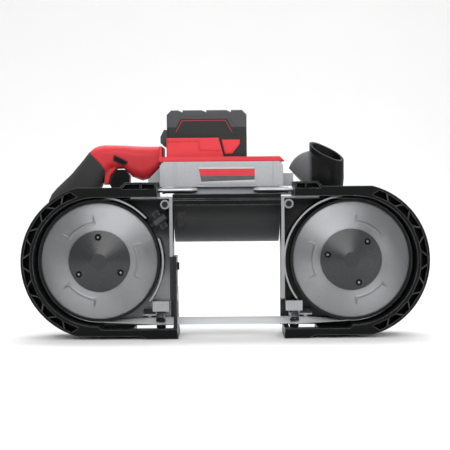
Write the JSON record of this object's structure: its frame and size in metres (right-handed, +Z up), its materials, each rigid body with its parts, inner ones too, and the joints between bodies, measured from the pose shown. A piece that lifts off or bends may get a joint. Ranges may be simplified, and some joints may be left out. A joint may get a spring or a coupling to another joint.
{
  "type": "portable band saw",
  "caption": "Cordless hand-held band saw with a deep open throat, ribbed wheel guards, a D-shaped rear handle, a horn-shaped front handle and a slide-on battery.",
  "frame": {"origin": "middle of the base that the saw stands on, under the middle of its bounding box", "axes": "+X from the rear handle to the front handle, +Y from the side that shows the wheels to the battery side, +Z up"},
  "size_m": [0.518, 0.136, 0.2928],
  "materials": {
    "red_plastic": "satin moulded",
    "guard_plastic": "satin black moulded",
    "charcoal_plastic": "fine matt grain",
    "grip_rubber": "matt overmould",
    "casting_silver": "satin die cast",
    "wheel_steel": "soft brushed",
    "blade_steel": "bright",
    "bright_steel": "bright plated",
    "dark_steel": "black oxide",
    "machine_steel": "machined",
    "motor_iron": "laminated",
    "lens": "clear over dark",
    "plate": "printed plate left bare",
    "cell_metal": "wrapped"
  },
  "bodies": {
    "frame": {"housing_front": "red_plastic", "housing_back": "red_plastic", "rear_guard": "guard_plastic", "front_guard": "guard_plastic", "front_handle": "guard_plastic", "blade_cover": "guard_plastic", "motor_cover": "charcoal_plastic", "brush_holder": "charcoal_plastic", "switch": "charcoal_plastic", "terminal_block": "charcoal_plastic", "grip": "grip_rubber", "wheel_brush": "grip_rubber", "frame_casting": "casting_silver", "gear_case": "casting_silver", "motor_housing": "casting_silver", "blade": "blade_steel", "rear_guide": "bright_steel", "front_guide": "bright_steel", "guard_pins": "bright_steel", "frame_screws": "dark_steel", "rest_screw": "dark_steel", "brush_screws": "dark_steel", "drive_bearings": "machine_steel", "middle_bearings": "machine_steel", "motor_bearings": "machine_steel", "lever_pin": "machine_steel", "motor_stator": "motor_iron", "light_lens": "lens", "name_plate": "plate"},
    "drive_wheel": {"drive_wheel": "wheel_steel", "drive_tyre": "grip_rubber", "drive_cap": "charcoal_plastic", "drive_cap_screws": "dark_steel", "drive_shaft": "machine_steel", "drive_gear": "machine_steel"},
    "middle_shaft": {"middle_shaft": "machine_steel", "middle_gear": "machine_steel"},
    "motor_rotor": {"motor_rotor": "machine_steel"},
    "tension_slide": {"tension_slide": "machine_steel", "idler_axle": "machine_steel"},
    "idler_wheel": {"idler_wheel": "wheel_steel", "idler_tyre": "grip_rubber", "idler_cap": "charcoal_plastic", "idler_cap_screws": "dark_steel", "idler_bearing": "machine_steel"},
    "tension_lever": {"tension_lever": "dark_steel"},
    "trigger": {"trigger": "guard_plastic"},
    "lock_button": {"lock_button": "guard_plastic"},
    "battery": {"battery_case": "charcoal_plastic", "battery_cells": "cell_metal"},
    "front_latch": {"front_latch": "red_plastic"},
    "back_latch": {"back_latch": "red_plastic"},
    "work_rest": {"work_rest": "dark_steel"},
    "rear_lower_roller": {"rear_lower_roller": "bright_steel"},
    "rear_upper_roller": {"rear_upper_roller": "bright_steel"},
    "front_lower_roller": {"front_lower_roller": "bright_steel"},
    "front_upper_roller": {"front_upper_roller": "bright_steel"},
    "rear_backup_roller": {"rear_backup_roller": "bright_steel"},
    "front_backup_roller": {"front_backup_roller": "bright_steel"}
  },
  "joints": [
    {"name": "drive_spin", "type": "hinge", "parent": "frame", "child": "drive_wheel", "pos_m": [-0.16154, 0, 0.098], "axis": [0, 1, 0], "continuous": true},
    {"name": "middle_spin", "type": "hinge", "parent": "frame", "child": "middle_shaft", "pos_m": [-0.12875, 0, 0.1518], "axis": [0, 1, 0], "continuous": true},
    {"name": "rotor_spin", "type": "hinge", "parent": "frame", "child": "motor_rotor", "pos_m": [0, 0.023, 0.1518], "axis": [1, 0, 0], "continuous": true},
    {"name": "lever_turn", "type": "hinge", "parent": "frame", "child": "tension_lever", "pos_m": [0.15754, 0, 0.056], "axis": [0, -1, 0], "range_deg": [0, 180]},
    {"name": "tension_move", "type": "slide", "parent": "frame", "child": "tension_slide", "axis": [-1, 0, 0], "range_m": [0, 0.004]},
    {"name": "idler_spin", "type": "hinge", "parent": "tension_slide", "child": "idler_wheel", "pos_m": [0.16154, 0, 0.098], "axis": [0, 1, 0], "continuous": true},
    {"name": "trigger_pull", "type": "slide", "parent": "frame", "child": "trigger", "axis": [-1, 0, 0], "range_m": [0, 0.005], "stiffness_N_per_m": 1500},
    {"name": "button_press", "type": "slide", "parent": "frame", "child": "lock_button", "axis": [0, 1, 0], "range_m": [0, 0.004], "stiffness_N_per_m": 1200},
    {"name": "battery_slide", "type": "slide", "parent": "frame", "child": "battery", "axis": [1, 0, 0], "range_m": [0, 0.055]},
    {"name": "front_latch_press", "type": "slide", "parent": "battery", "child": "front_latch", "axis": [0, 1, 0], "range_m": [0, 0.003], "stiffness_N_per_m": 2000},
    {"name": "back_latch_press", "type": "slide", "parent": "battery", "child": "back_latch", "axis": [0, -1, 0], "range_m": [0, 0.003], "stiffness_N_per_m": 2000},
    {"name": "rest_slide", "type": "slide", "parent": "frame", "child": "work_rest", "axis": [0, 0, 1], "range_m": [0, 0.03]},
    {"name": "rear_lower_roller_spin", "type": "hinge", "parent": "frame", "child": "rear_lower_roller", "pos_m": [-0.08354, -0.03333, 0.01473], "axis": [0, 0.7071, 0.7071], "continuous": true},
    {"name": "rear_upper_roller_spin", "type": "hinge", "parent": "frame", "child": "rear_upper_roller", "pos_m": [-0.08354, -0.04267, 0.02407], "axis": [0, 0.7071, 0.7071], "continuous": true},
    {"name": "front_lower_roller_spin", "type": "hinge", "parent": "frame", "child": "front_lower_roller", "pos_m": [0.08854, -0.03333, 0.01473], "axis": [0, 0.7071, 0.7071], "continuous": true},
    {"name": "front_upper_roller_spin", "type": "hinge", "parent": "frame", "child": "front_upper_roller", "pos_m": [0.08854, -0.04267, 0.02407], "axis": [0, 0.7071, 0.7071], "continuous": true},
    {"name": "rear_backup_roller_spin", "type": "hinge", "parent": "frame", "child": "rear_backup_roller", "pos_m": [-0.09854, -0.02976, 0.02764], "axis": [0, -0.7071, 0.7071], "continuous": true},
    {"name": "front_backup_roller_spin", "type": "hinge", "parent": "frame", "child": "front_backup_roller", "pos_m": [0.10354, -0.02976, 0.02764], "axis": [0, -0.7071, 0.7071], "continuous": true}
  ],
  "couplings": [
    {"joint": "middle_spin", "follows": "drive_spin", "ratio": -5.5455},
    {"joint": "rotor_spin", "follows": "drive_spin", "ratio": -14.788},
    {"joint": "idler_spin", "follows": "drive_spin", "ratio": 1},
    {"joint": "tension_move", "follows": "lever_turn", "m_per_rad": 0.0012732},
    {"joint": "rear_lower_roller_spin", "follows": "drive_spin", "ratio": -13.1},
    {"joint": "rear_upper_roller_spin", "follows": "drive_spin", "ratio": 13.1},
    {"joint": "front_lower_roller_spin", "follows": "drive_spin", "ratio": -13.1},
    {"joint": "front_upper_roller_spin", "follows": "drive_spin", "ratio": 13.1},
    {"joint": "rear_backup_roller_spin", "follows": "drive_spin", "ratio": -15.72},
    {"joint": "front_backup_roller_spin", "follows": "drive_spin", "ratio": -15.72}
  ]
}
